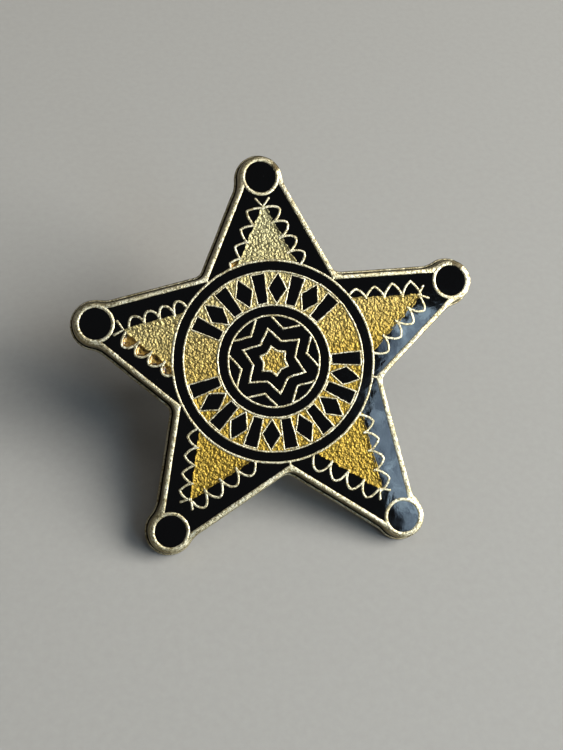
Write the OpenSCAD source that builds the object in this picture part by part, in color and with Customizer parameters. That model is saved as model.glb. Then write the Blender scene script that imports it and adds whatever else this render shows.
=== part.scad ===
// Lapel pin: a five-armed star of die-struck brass with black enamel, leaning on two balls and its post.
// The star is drawn face up with its medallion at the origin, and seated() then leans it on the floor.
// Bearings are in degrees clockwise from straight up, and lengths are in millimetres.

/* [Star] */
// Height of the rim above the back
thickness = 1.3; // [1.2:0.05:1.6]
// Rounding of the notch between two arms
notch_round = 0.9; // [0.7:0.1:1.2]
// Radius of the round ball at the end of each arm, at the top of its rim
ball_r = 1.34; // [1.3:0.01:1.5]
// Radius of the hollow where an arm runs into its ball
neck_round = 2.2; // [1.2:0.1:3]
// Width of the rim along the arms
rim_w = 0.27; // [0.2:0.01:0.32]

/* [Edge] */
// How far the trimmed edge at the back stands out past the rim
flange_out = 0.33; // [0.25:0.01:0.4]
// Part of the edge's width that is left round the balls
ball_share = 0.75; // [0.65:0.01:1]
// Height of that trimmed edge
flange_h = 0.4; // [0.3:0.05:0.5]
// How far the middle of the sloping side stands out
slope_out = 0.17; // [0.1:0.01:0.2]
// Height at which the sloping side ends
slope_h = 0.85; // [0.6:0.05:1]

/* [Relief] */
// Depth of the pockets that hold the enamel
pocket_depth = 0.45; // [0.3:0.05:0.6]
// How far the enamel stays below the metal lines
enamel_sink = 0.05; // [0.02:0.01:0.1]
// How far the grained gold panels lie below the metal lines
panel_sink = 0.12; // [0.05:0.01:0.2]
// Width of a raised line
line_w = 0.14; // [0.1:0.01:0.16]
// Gap round each piece of enamel
gap = 0.02; // [0.01:0.005:0.03]

/* [Medallion] */
// Outer radius of the line round the whole medallion
medal_r = 6.42; // [6.4:0.01:6.5]
// Outer radius of the outer enamel ring
outer_ring_r = 6.27; // [6.2:0.01:6.3]
// Inner radius of the outer enamel ring
outer_ring_in = 5.72; // [5.6:0.01:5.8]
// Outer radius of the grained band
band_r = 5.6; // [5.5:0.01:5.65]
// Inner radius of the grained band
band_in = 3.6; // [3.55:0.01:3.7]
// Outer radius of the inner enamel ring
inner_ring_r = 3.47; // [3.4:0.01:3.5]
// Inner radius of the inner enamel ring
inner_ring_in = 2.95; // [2.9:0.01:3]
// Radius of the round field with the six-pointed star
field_r = 2.82; // [2.75:0.01:2.85]

/* [Band ornament] */
// Bars and lozenges in the upper row, an odd number
upper_count = 9; // [5:2:9]
// Bearing of the middle of the upper row
upper_mid = 349; // [345:355]
// Bars and lozenges in the lower row, an odd number
lower_count = 13; // [7:2:13]
// Bearing of the middle of the lower row
lower_mid = 168.5; // [165:0.5:172]
// Bearing from one bar or lozenge to the next
item_step = 13.5; // [13:0.1:13.6]
// Bearing that a bar takes up
bar_span = 8.4; // [6:0.1:9]
// Bearing that a lozenge takes up at its widest
lozenge_span = 13.6; // [10:0.1:14]
// Width of the thin line round a bar or lozenge
item_line = 0.1; // [0.08:0.01:0.12]

/* [Six-pointed star] */
// Bearing of the star's first point
hex_turn = -11; // [-30:30]
// Radius of the star line's points
hex_tip = 2.06; // [1.9:0.01:2.1]
// Radius of the star line's inner corners
hex_valley = 1.34; // [1.2:0.01:1.4]
// Radius of the grained star's points
core_tip = 0.92; // [0.8:0.01:0.95]
// Radius of the grained star's inner corners
core_valley = 0.66; // [0.6:0.01:0.7]
// Radius that a chevron at the edge of the field reaches in to
chevron_in = 2.12; // [2.1:0.01:2.3]
// Bearing from a chevron's corner to where its sides meet the edge
chevron_span = 20; // [16:22]
// Bearing of the chevrons past the star's inner corners
chevron_turn = -3; // [-5:3]

/* [Arm ornament] */
// Lobes along each side of a gold triangle
lobes = 4; // [3:4]
// Length of the two strokes at the triangle's tip
stroke = 0.66; // [0.5:0.01:0.7]
// Angle of a stroke to the arm
stroke_angle = 40; // [30:45]

/* [Balls] */
// Radius of the enamel disc on a ball
disc_r = 0.97; // [0.9:0.01:1]
// Radius of the thin ring line round the disc
ring_r = 1.2; // [1.15:0.01:1.22]

/* [Post] */
// Length of the post behind the star
post_len = 8; // [6:0.5:10]
// Diameter of the post
post_d = 1.1; // [1:0.05:1.2]
// Length of the post's point
point_len = 1; // [0.8:0.1:1.5]
// Radius of the blunt end of the point
point_r = 0.12; // [0.1:0.01:0.2]
// Radius of the solder round the post's foot
solder_r = 1.5; // [1:0.1:2]
// Height of that solder
solder_h = 0.3; // [0.2:0.05:0.5]

/* [Hidden] */
$fn = 64;

// One row for each arm, clockwise from the top. BEFORE and AFTER are its two sides, counted clockwise.
BEARING = 0;
REACH = 1;
HALF_BEFORE = 2;
HALF_AFTER = 3;
NOTCH_REACH = 4;
NOTCH_AFTER = 5;
TIP_REACH = 6;
BASE_BEFORE = 7;
BASE_AFTER = 8;
ARMS = [
    [-4.3, 11.63, 0.95, 1.05, 6.73, 35.6, 9.75, 17.5, 16],
    [65.2, 12.56, 0.84, 0.99, 6.85, 98.4, 10.25, 15, 17.5],
    [139.9, 12.77, 0.88, 1.13, 6.82, 171, 10.45, 19, 15],
    [211.3, 12.31, 1.00, 0.79, 6.73, 244.5, 9.95, 18, 16],
    [281.3, 11.27, 0.87, 0.98, 6.74, 319.4, 9.5, 16, 17],
];
TOP = 0;
RIGHT = 1;
LOWER_RIGHT = 2;
LOWER_LEFT = 3;
LEFT = 4;
EACH_ARM = [0 : len(ARMS) - 1];
BEFORE = 0;
AFTER = 1;
SIDES = [BEFORE, AFTER];

// One row for each side of each arm: how far along its base a lobe's crown lies, its fullness
// (1 is a plain V, 2 an oval, 3 nearly a box), its height next to the medallion and next to the tip,
// where along the side of the triangle the row of lobes starts and ends, and how much wider the last
// lobe is than the first.
CROWN = 0;
FULLNESS = 1;
LOW_H = 2;
HIGH_H = 3;
ROW_START = 4;
ROW_END = 5;
WIDENING = 6;
LOBES = [
    [[0.52, 1.3, 0.5, 0.8, -0.11, 0.97, 0.14], [0.54, 1.75, 0.9, 0.87, -0.07, 0.97, -0.04]],
    [[0.47, 1.3, 0.56, 0.9, -0.03, 1.03, 0], [0.55, 1.55, 0.88, 0.91, -0.03, 1, -0.2]],
    [[0.53, 1.45, 0.76, 0.76, 0.03, 1.03, 0.17], [0.57, 1.75, 1.01, 0.91, -0.02, 0.99, -0.14]],
    [[0.51, 1.7, 0.87, 0.94, -0.04, 1.02, -0.15], [0.52, 1.4, 0.69, 0.73, -0.02, 1.03, -0.14]],
    [[0.62, 1.9, 0.67, 0.84, -0.08, 0.95, 0], [0.6, 1.9, 0.81, 0.63, -0.05, 0.91, 0.1]],
];
// Steps of 30 degrees put a corner on the crown, and are long enough to stay straight when a lobe is made smaller
LOBE_STEP = 30;
HEX_POINTS = 6;
EACH_POINT = [0 : HEX_POINTS - 1];
hex_step = 360 / HEX_POINTS;

metal_top = thickness;
pocket_floor = thickness - pocket_depth;
enamel_top = thickness - enamel_sink;
panel_top = thickness - panel_sink;
cut_past = 1;
// A fill reaches into the star, and its round side crosses the star's edge instead of just touching it
notch_overlap = 0.9;
fill_overlap = 0.1;
fill_cut = 0.004;
// Trimmed off the base of each lobe's cell, so that its straight base is cut along the triangle
base_trim = 0.01;

function polar(r, bearing) = [r * sin(bearing), r * cos(bearing)];
function unit(v) = v / norm(v);
function left_of(v) = [-v[1], v[0]];
function arm(i) = ARMS[(i + len(ARMS)) % len(ARMS)];
function ball(i) = polar(arm(i)[REACH], arm(i)[BEARING]);
function notch(i) = polar(arm(i)[NOTCH_REACH], arm(i)[NOTCH_AFTER]);

// Clockwise polygon moved outwards by g
function grown(points, g) = [
    for (k = [0 : len(points) - 1])
        let (
            here = points[k],
            before = points[(k + len(points) - 1) % len(points)],
            after = points[(k + 1) % len(points)],
            n1 = left_of(unit(here - before)),
            n2 = left_of(unit(after - here))
        )
        here + (n1 + n2) * g / (1 + n1 * n2)
];

// Outward normal of an arm's edge: a line from the notch that passes half the arm's width from the ball
function edge_normal(from, to, half, side) =
    let (
        span = norm(to - from),
        swing = asin(half / span),
        along = unit(to - from),
        sign = side == BEFORE ? 1 : -1
    )
    sign * (left_of(along) * cos(swing) - sign * along * sin(swing));
function normal_before(i) = edge_normal(notch(i - 1), ball(i), arm(i)[HALF_BEFORE], BEFORE);
function normal_after(i) = edge_normal(notch(i), ball(i), arm(i)[HALF_AFTER], AFTER);

// The two shoulders of an arm and the notch after it
function arm_points(i) = [
    ball(i) + normal_before(i) * arm(i)[HALF_BEFORE],
    ball(i) + normal_after(i) * arm(i)[HALF_AFTER],
    notch(i)
];
ARM_POINTS = 3;
function star_points() = [for (i = EACH_ARM, p = arm_points(i)) p];

// Turn that levels the two lower balls, and the height that they reach below the medallion
low_line = ball(LOWER_RIGHT) - ball(LOWER_LEFT);
turn = -atan2(low_line[1], low_line[0]);
function turned(p) = [p[0] * cos(turn) - p[1] * sin(turn), p[0] * sin(turn) + p[1] * cos(turn)];
ball_flange = flange_out * ball_share;
foot_r = ball_r + ball_flange;
foot_drop = foot_r - turned(ball(LOWER_RIGHT))[1];
lean = atan(post_len / (foot_drop - point_r));
reach_left = turned(ball(LEFT))[0] - foot_r;
reach_right = turned(ball(RIGHT))[0] + foot_r;
reach_back = (turned(ball(TOP))[1] + foot_r) * cos(lean);
reach_front = -(foot_drop - ball_flange) * cos(lean) - metal_top * sin(lean);

// Leans the star on its two lower balls and the end of its post, centred over the origin
module seated() {
    translate([-(reach_left + reach_right) / 2, -(reach_front + reach_back) / 2, foot_drop * sin(lean)])
        rotate([lean, 0, 0])
            rotate([0, 0, turn])
                children();
}

// Fills the notch between two arms up to a round corner
module notch_fill(i, g) {
    n1 = normal_after(i);
    n2 = normal_before(i + 1);
    centre = notch(i) + (n1 + n2) * notch_round / (1 + n1 * n2);
    deep = notch_round - g + fill_overlap;
    difference() {
        polygon([notch(i) * notch_overlap, centre - n1 * deep, centre, centre - n2 * deep]);
        translate(centre) circle(notch_round - g + fill_cut);
    }
}

// Fills the hollow between an arm's edge and its ball
module neck_fill(i, side, g) {
    n = side == BEFORE ? normal_before(i) : normal_after(i);
    half = side == BEFORE ? arm(i)[HALF_BEFORE] : arm(i)[HALF_AFTER];
    inward = side == BEFORE ? -1 : 1;
    reach = ball_r + g * ball_share + neck_round - g;
    back = sqrt(pow(reach, 2) - pow(half + neck_round, 2));
    centre = ball(i) + n * (half + neck_round) - left_of(n) * back * inward;
    difference() {
        polygon([ball(i), centre, centre - n * (neck_round - g + fill_overlap)]);
        translate(centre) circle(neck_round - g + fill_cut);
    }
}

// Outline of the star, moved outwards by g, and by less round the balls
module outline(g) {
    polygon(grown(star_points(), g));
    for (i = EACH_ARM) {
        translate(ball(i)) circle(ball_r + g * ball_share);
        notch_fill(i, g);
        neck_fill(i, BEFORE, g);
        neck_fill(i, AFTER, g);
    }
}

// Rib from the medallion to a notch, which keeps the enamel of two arms apart, moved outwards by g
module notch_rib(i, g) {
    rotate(-arm(i)[NOTCH_AFTER])
        translate([-line_w / 2 - g, 0])
            square([line_w + 2 * g, arm(i)[NOTCH_REACH]]);
}

// Space between the rims of one arm, from the medallion to the ball, made smaller by g
module arm_space(i, g) {
    inner = grown(star_points(), -rim_w - g);
    notch_before = ARM_POINTS * i - 1 + len(inner);
    corners = [for (k = [0 : ARM_POINTS]) inner[(notch_before + k) % len(inner)]];
    difference() {
        polygon(concat([[0, 0]], corners));
        circle(medal_r + g);
        translate(ball(i)) circle(ring_r + g);
        notch_rib(i - 1, g);
        notch_rib(i, g);
    }
}

function triangle_foot(i, side) =
    polar(medal_r - line_w, arm(i)[BEARING] + (side == BEFORE ? -arm(i)[BASE_BEFORE] : arm(i)[BASE_AFTER]));
function triangle_tip(i) = polar(arm(i)[TIP_REACH], arm(i)[BEARING]);
function triangle_points(i) = [triangle_foot(i, BEFORE), triangle_tip(i), triangle_foot(i, AFTER)];

// How far along the side of its triangle the lobe with number k starts
function lobe_start(row, k) =
    let (widened = 1 - row[WIDENING] * (lobes - k) / (lobes - 1) / 2)
    row[ROW_START] + (row[ROW_END] - row[ROW_START]) * widened * k / lobes;

// Closed outline of one lobe, clockwise, on the side of a triangle
function lobe_points(i, side, k) =
    let (
        row = LOBES[i][side],
        foot = triangle_foot(i, side),
        run = triangle_tip(i) - foot,
        out = side == BEFORE ? left_of(unit(run)) : -left_of(unit(run)),
        low = foot + run * lobe_start(row, k),
        high = foot + run * lobe_start(row, k + 1),
        h = row[LOW_H] + (row[HIGH_H] - row[LOW_H]) * k / (lobes - 1),
        power = 2 / row[FULLNESS],
        arch = [
            for (a = [0 : LOBE_STEP : 180])
                let (
                    bend = pow(abs(cos(a)), power),
                    u = a <= 90 ? row[CROWN] * (1 - bend) : row[CROWN] + (1 - row[CROWN]) * bend
                )
                low + (high - low) * u + out * h * pow(abs(sin(a)), power)
        ]
    )
    side == BEFORE ? arch : [for (k = [len(arch) - 1 : -1 : 0]) arch[k]];

// The thinly filled cells show their gold floor: the lobes of one side of the left arm, and one of the top arm
function is_thin(i, side, k) = (i == LEFT && side == BEFORE) || (i == TOP && side == BEFORE && k == 0);

// Enamel cells inside the lobes of one arm, made smaller by g
module lobe_cells(i, thin, g) {
    for (side = SIDES, k = [0 : lobes - 1])
        if (is_thin(i, side, k) == thin)
            difference() {
                polygon(grown(lobe_points(i, side, k), -line_w / 2 - g));
                circle(medal_r + g);
                polygon(grown(triangle_points(i), line_w / 2 + base_trim + g));
            }
}

// Two short strokes at the tip of a triangle
module tip_strokes(i, g) {
    for (side = [-1, 1])
        translate(triangle_tip(i))
            rotate(-arm(i)[BEARING] - side * stroke_angle) {
                translate([-line_w / 2 - g, -line_w / 2])
                    square([line_w + 2 * g, stroke + line_w / 2]);
                translate([0, stroke]) circle(line_w / 2 + g);
            }
}

// Enamel of one arm outside its ornament, made smaller by g
module arm_field(i, g) {
    difference() {
        arm_space(i, g);
        polygon(grown(triangle_points(i), line_w / 2 + g));
        for (side = SIDES, k = [0 : lobes - 1])
            polygon(grown(lobe_points(i, side, k), line_w / 2 + g));
        tip_strokes(i, g);
    }
}

// Ring between two radii, made smaller by g
module ring(r_in, r_out, g) {
    difference() {
        circle(r_out - g);
        circle(r_in + g);
    }
}

// A bar or a lozenge that runs across the band, clockwise
function item_points(bearing, is_bar) =
    let (
        low = band_in + item_line,
        high = band_r - item_line,
        mid = (low + high) / 2
    )
    is_bar
        ? [polar(low, bearing - bar_span / 2), polar(high, bearing - bar_span / 2),
            polar(high, bearing + bar_span / 2), polar(low, bearing + bar_span / 2)]
        : [polar(low, bearing), polar(mid, bearing - lozenge_span / 2),
            polar(high, bearing), polar(mid, bearing + lozenge_span / 2)];

// A row of bars and lozenges in turn, with a bar at each end, moved outwards by g
module band_row(count, middle, g) {
    for (k = [0 : count - 1])
        polygon(grown(item_points(middle + (k - (count - 1) / 2) * item_step, k % 2 == 0), g));
}

function hex_star(tip, valley) = [
    for (k = EACH_POINT)
        for (p = [polar(tip, hex_turn + hex_step * k), polar(valley, hex_turn + hex_step * (k + 0.5))])
            p
];

// Closed outline of one chevron, from its corner out past the edge of the round field
function chevron_points(k) =
    let (
        bearing = hex_turn + chevron_turn + hex_step * (k + 0.5),
        corner = polar(chevron_in, bearing),
        reach = 1.5
    )
    [corner,
        corner + (polar(field_r, bearing - chevron_span) - corner) * reach,
        corner + (polar(field_r, bearing + chevron_span) - corner) * reach];

module star_field(g) {
    difference() {
        circle(field_r - g);
        polygon(grown(hex_star(hex_tip, hex_valley), line_w / 2 + g));
        for (k = EACH_POINT)
            polygon(grown(chevron_points(k), line_w / 2 + g));
    }
}

module star_inner(g) {
    difference() {
        polygon(grown(hex_star(hex_tip, hex_valley), -line_w / 2 - g));
        polygon(grown(hex_star(core_tip, core_valley), line_w / 2 + g));
    }
}

module segments(g) {
    intersection() {
        circle(field_r - g);
        union() {
            for (k = EACH_POINT)
                polygon(grown(chevron_points(k), -line_w / 2 - g));
        }
    }
}

module disc(i, g) {
    translate(ball(i)) circle(disc_r - g);
}

// Everything that is filled with enamel
module pockets() {
    for (i = EACH_ARM) {
        arm_field(i, 0);
        lobe_cells(i, false, 0);
        lobe_cells(i, true, 0);
        disc(i, 0);
    }
    ring(outer_ring_in, outer_ring_r, 0);
    ring(inner_ring_in, inner_ring_r, 0);
    band_row(upper_count, upper_mid, 0);
    band_row(lower_count, lower_mid, 0);
    star_field(0);
    star_inner(0);
    segments(0);
}

// The grained gold areas inside their raised lines
module panels() {
    for (i = EACH_ARM)
        difference() {
            polygon(grown(triangle_points(i), -line_w / 2));
            circle(medal_r);
        }
    difference() {
        ring(band_in, band_r, 0);
        band_row(upper_count, upper_mid, item_line);
        band_row(lower_count, lower_mid, item_line);
    }
    polygon(grown(hex_star(core_tip, core_valley), -line_w / 2));
}

// The post is soldered to the back, so it is one solid with the star
module post() {
    shank_len = post_len - point_len;
    mirror([0, 0, 1]) {
        translate([0, 0, -flange_h]) cylinder(r = post_d / 2, h = shank_len + flange_h);
        translate([0, 0, shank_len]) cylinder(r1 = post_d / 2, r2 = point_r, h = point_len);
        cylinder(r1 = solder_r, r2 = post_d / 2, h = solder_h);
    }
}

module star_body() {
    color([0.82, 0.72, 0.42])
        seated() {
            difference() {
                union() {
                    linear_extrude(flange_h) outline(flange_out);
                    linear_extrude(slope_h) outline(slope_out);
                    linear_extrude(metal_top) outline(0);
                }
                translate([0, 0, pocket_floor]) linear_extrude(cut_past) pockets();
                translate([0, 0, panel_top]) linear_extrude(cut_past) panels();
            }
            post();
        }
}

// A layer of enamel in its pocket, clear of the floor below it
module enamel() {
    color([0.03, 0.03, 0.04])
        seated()
            translate([0, 0, pocket_floor + gap])
                linear_extrude(enamel_top - pocket_floor - gap)
                    children();
}

module enamel_arm(i) {
    enamel() {
        arm_field(i, gap);
        lobe_cells(i, false, gap);
    }
}

module enamel_disc(i) {
    enamel() disc(i, gap);
}

// These five cells are only half full
module enamel_thin_cells() {
    color([0.45, 0.28, 0.06])
        seated()
            translate([0, 0, pocket_floor + gap])
                linear_extrude((enamel_top - pocket_floor) / 2)
                    for (i = [TOP, LEFT])
                        lobe_cells(i, true, gap);
}

star_body();
enamel_arm(TOP);  // enamel_arm_top
enamel_arm(RIGHT);  // enamel_arm_right
enamel_arm(LOWER_RIGHT);  // enamel_arm_lower_right
enamel_arm(LOWER_LEFT);  // enamel_arm_lower_left
enamel_arm(LEFT);  // enamel_arm_left
enamel_disc(TOP);  // enamel_disc_top
enamel_disc(RIGHT);  // enamel_disc_right
enamel_disc(LOWER_RIGHT);  // enamel_disc_lower_right
enamel_disc(LOWER_LEFT);  // enamel_disc_lower_left
enamel_disc(LEFT);  // enamel_disc_left
enamel_thin_cells();
enamel() ring(outer_ring_in, outer_ring_r, gap);  // enamel_ring_outer
enamel() ring(inner_ring_in, inner_ring_r, gap);  // enamel_ring_inner
enamel() band_row(upper_count, upper_mid, -gap);  // enamel_band_upper
enamel() band_row(lower_count, lower_mid, -gap);  // enamel_band_lower
enamel() star_field(gap);  // enamel_star_field
enamel() star_inner(gap);  // enamel_star_inner
enamel() segments(gap);  // enamel_segments
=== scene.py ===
import math
from collections import namedtuple

import bpy
import numpy as np
from mathutils import Matrix, Vector
from mathutils.geometry import delaunay_2d_cdt


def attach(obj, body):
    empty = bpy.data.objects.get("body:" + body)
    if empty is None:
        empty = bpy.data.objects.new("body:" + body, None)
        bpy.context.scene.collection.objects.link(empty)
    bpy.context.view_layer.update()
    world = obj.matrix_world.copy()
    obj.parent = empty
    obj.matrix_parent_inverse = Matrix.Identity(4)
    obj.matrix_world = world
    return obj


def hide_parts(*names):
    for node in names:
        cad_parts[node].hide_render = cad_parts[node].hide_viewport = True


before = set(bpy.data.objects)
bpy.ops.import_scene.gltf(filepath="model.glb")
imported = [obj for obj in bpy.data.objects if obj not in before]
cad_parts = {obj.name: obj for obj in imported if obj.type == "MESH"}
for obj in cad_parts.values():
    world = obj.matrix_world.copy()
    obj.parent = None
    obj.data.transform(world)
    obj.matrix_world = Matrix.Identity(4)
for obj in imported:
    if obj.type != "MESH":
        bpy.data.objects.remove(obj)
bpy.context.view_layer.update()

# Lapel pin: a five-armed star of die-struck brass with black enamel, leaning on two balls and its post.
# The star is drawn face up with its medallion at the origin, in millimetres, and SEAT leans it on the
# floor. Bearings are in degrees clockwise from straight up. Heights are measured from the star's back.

MM = 0.001
CENTRE = np.zeros(2)

# Sizes of the star, as in the part's source
THICKNESS = 1.3
NOTCH_ROUND = 0.9
BALL_R = 1.34
NECK_ROUND = 2.2
RIM_W = 0.27
FLANGE_OUT = 0.33
BALL_SHARE = 0.75
POCKET_FLOOR = THICKNESS - 0.45
ENAMEL_TOP = THICKNESS - 0.05
PANEL_TOP = THICKNESS - 0.12
LINE_W = 0.14
MEDAL_R = 6.42
OUTER_RING_R = 6.27
OUTER_RING_IN = 5.72
BAND_R = 5.6
BAND_IN = 3.6
INNER_RING_R = 3.47
INNER_RING_IN = 2.95
FIELD_R = 2.82
UPPER_COUNT = 9
UPPER_MID = 349
LOWER_COUNT = 13
LOWER_MID = 168.5
ITEM_STEP = 13.5
BAR_SPAN = 8.4
LOZENGE_SPAN = 13.6
ITEM_LINE = 0.1
HEX_POINTS = 6
HEX_STEP = 360 / HEX_POINTS
HEX_TURN = -11
HEX_TIP = 2.06
HEX_VALLEY = 1.34
CORE_TIP = 0.92
CORE_VALLEY = 0.66
CHEVRON_IN = 2.12
CHEVRON_SPAN = 20
CHEVRON_TURN = -3
CHEVRON_REACH = 1.5
LOBE_COUNT = 4
STROKE = 0.66
STROKE_ANGLE = 40
DISC_R = 0.97
RING_R = 1.2
POST_LEN = 8
POST_R = 0.55
POINT_LEN = 1
POINT_R = 0.12
SOLDER_R = 1.5
SOLDER_H = 0.3

# One row for each arm, clockwise from the top. Before and after are its two sides, counted clockwise.
Arm = namedtuple("Arm", "name bearing reach half notch_reach notch_after tip_reach base")
ARMS = [
    Arm("top", -4.3, 11.63, (0.95, 1.05), 6.73, 35.6, 9.75, (17.5, 16)),
    Arm("right", 65.2, 12.56, (0.84, 0.99), 6.85, 98.4, 10.25, (15, 17.5)),
    Arm("lower_right", 139.9, 12.77, (0.88, 1.13), 6.82, 171, 10.45, (19, 15)),
    Arm("lower_left", 211.3, 12.31, (1.00, 0.79), 6.73, 244.5, 9.95, (18, 16)),
    Arm("left", 281.3, 11.27, (0.87, 0.98), 6.74, 319.4, 9.5, (16, 17)),
]
TOP, RIGHT, LOWER_RIGHT, LOWER_LEFT, LEFT = range(5)
BEFORE, AFTER = range(2)
SIDES = (BEFORE, AFTER)

# One row for each side of each arm, as in the part's source
Side = namedtuple("Side", "crown fullness low_h high_h row_start row_end widening")
LOBES = [
    (Side(0.52, 1.3, 0.5, 0.8, -0.11, 0.97, 0.14), Side(0.54, 1.75, 0.9, 0.87, -0.07, 0.97, -0.04)),
    (Side(0.47, 1.3, 0.56, 0.9, -0.03, 1.03, 0), Side(0.55, 1.55, 0.88, 0.91, -0.03, 1, -0.2)),
    (Side(0.53, 1.45, 0.76, 0.76, 0.03, 1.03, 0.17), Side(0.57, 1.75, 1.01, 0.91, -0.02, 0.99, -0.14)),
    (Side(0.51, 1.7, 0.87, 0.94, -0.04, 1.02, -0.15), Side(0.52, 1.4, 0.69, 0.73, -0.02, 1.03, -0.14)),
    (Side(0.62, 1.9, 0.67, 0.84, -0.08, 0.95, 0), Side(0.6, 1.9, 0.81, 0.63, -0.05, 0.91, 0.1)),
]
LOBE_STEP = 15


# Plane geometry

def polar(r, bearing):
    """The point, or points, at a distance and a bearing from the origin."""
    angle = np.radians(bearing)
    return np.stack([r * np.sin(angle), r * np.cos(angle)], -1)


def left_of(v):
    """The vectors turned a quarter to the left."""
    return np.stack([-v[..., 1], v[..., 0]], -1)


def unit(v):
    """The vectors made 1 long."""
    return v / np.linalg.norm(v, axis=-1, keepdims=True)


def grown(loop, g):
    """A clockwise loop whose sides are all moved outwards by g."""
    n1 = left_of(unit(loop - np.roll(loop, 1, 0)))
    n2 = left_of(unit(np.roll(loop, -1, 0) - loop))
    return loop + (n1 + n2) * g / (1 + (n1 * n2).sum(1, keepdims=True))


def finer(path, step):
    """The same open path with its sides cut into lengths of at most step."""
    parts = []
    for a, b in zip(path[:-1], path[1:]):
        count = max(1, math.ceil(np.linalg.norm(b - a) / step))
        parts.append(a + (b - a) * (np.arange(count) / count)[:, None])
    return np.concatenate(parts + [path[-1:]])


def resampled(loop, step):
    """The same closed loop with its sides cut into lengths of at most step."""
    return finer(np.concatenate([loop, loop[:1]]), step)[:-1]


def circle(centre, r, step=0.12, fewest=24):
    """A circle as a clockwise loop."""
    count = max(fewest, math.ceil(2 * math.pi * r / step))
    return centre + polar(r, np.arange(count) * 360 / count)


def within(points, loop):
    """Whether each point lies inside a closed loop."""
    x, y = points[:, :1], points[:, 1:]
    a, b = loop, np.roll(loop, -1, 0)
    rise = np.where(a[:, 1] == b[:, 1], 1, b[:, 1] - a[:, 1])
    crossing = a[:, 0] + (y - a[:, 1]) * (b[:, 0] - a[:, 0]) / rise
    return (((a[:, 1] > y) != (b[:, 1] > y)) & (x < crossing)).sum(1) % 2 == 1


def distance(points, loops):
    """How far each point lies from the nearest of some closed loops."""
    best = np.full(len(points), np.inf)
    for loop in loops:
        side = np.roll(loop, -1, 0) - loop
        away = points[:, None] - loop[None]
        along = np.clip((away * side).sum(2) / (side * side).sum(1), 0, 1)
        best = np.minimum(best, np.linalg.norm(away - along[..., None] * side, axis=2).min(1))
    return best


# Noise with a fixed seed, for small irregularities

def hashed(ix, iy, seed):
    """Scattered numbers from 0 to 1 that depend only on whole numbers and a seed."""
    h = ix.astype(np.int64) * 73856093 ^ iy.astype(np.int64) * 19349663 ^ seed * 83492791
    h = (h ^ h >> 13) * 1274126177 & 0x7FFFFFFF
    return ((h ^ h >> 16) & 0xFFFF) / 0xFFFF


def smooth_noise(points, cell, seed):
    """Noise from -1 to 1 whose bumps are about as wide as cell."""
    p = points[:, :2] / cell
    base = np.floor(p)
    f = p - base
    f = f * f * (3 - 2 * f)
    ix, iy = base[:, 0], base[:, 1]
    low = hashed(ix, iy, seed) * (1 - f[:, 0]) + hashed(ix + 1, iy, seed) * f[:, 0]
    high = hashed(ix, iy + 1, seed) * (1 - f[:, 0]) + hashed(ix + 1, iy + 1, seed) * f[:, 0]
    return (low * (1 - f[:, 1]) + high * f[:, 1]) * 2 - 1


def grain(points, cell, seed):
    """Rounded lumps of different heights, from 0 to 1, each about as wide as cell."""
    p = points[:, :2] / cell
    base = np.floor(p)
    nearest = np.full(len(p), np.inf)
    height = np.zeros(len(p))
    for dx in (-1, 0, 1):
        for dy in (-1, 0, 1):
            ix, iy = base[:, 0] + dx, base[:, 1] + dy
            site = np.stack([ix + hashed(ix, iy, seed), iy + hashed(ix, iy, seed + 1)], 1)
            away = ((p - site) ** 2).sum(1)
            closer = away < nearest
            nearest = np.where(closer, away, nearest)
            height = np.where(closer, hashed(ix, iy, seed + 2), height)
    return np.clip(1 - nearest, 0, 1) * (0.35 + 0.65 * height)


# The star's own outline

def ball(i):
    """The middle of an arm's ball."""
    return polar(ARMS[i].reach, ARMS[i].bearing)


def notch(i):
    """The rim's outer corner after an arm."""
    arm = ARMS[i % len(ARMS)]
    return polar(arm.notch_reach, arm.notch_after)


def edge_normal(i, side):
    """Outward normal of an arm's edge, which runs from the notch past the ball at half its width there."""
    start = notch(i - 1 if side == BEFORE else i)
    run = ball(i) - start
    swing = math.asin(ARMS[i].half[side] / np.linalg.norm(run))
    along = unit(run)
    sign = 1 if side == BEFORE else -1
    return sign * (left_of(along) * math.cos(swing) - sign * along * math.sin(swing))


def star_points():
    """The rim's outer edge with straight sides: two points beside each ball, and each notch."""
    points = []
    for i, arm in enumerate(ARMS):
        points += [ball(i) + edge_normal(i, side) * arm.half[side] for side in SIDES]
        points.append(notch(i))
    return np.array(points)


def swept(centre, reach, start, end, step=0.1, long_way=False):
    """Points centre + reach * n, with n turning from start to end, and those normals."""
    first, last = (math.atan2(v[1], v[0]) for v in (start, end))
    turn = (last - first + math.pi) % (2 * math.pi) - math.pi
    if long_way:
        turn = -((first - last) % (2 * math.pi))
    count = max(4, math.ceil(abs(turn * reach) / step))
    angles = first + turn * np.arange(count + 1) / count
    normals = np.stack([np.cos(angles), np.sin(angles)], 1)
    return centre + reach * normals, normals


def rim_depth(normals, edges, fillet):
    """How far in, along each normal, the straight inner edge of the rim lies from a hollow corner."""
    facing = np.max([normals @ edge for edge in edges], axis=0)
    return (RIM_W + fillet * (1 - facing)) / facing


# How the rim's outline is drawn
UNDER_RING = 0.05
OUTLINE_STEP = 0.12
SAME_POINT = 1e-4


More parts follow.
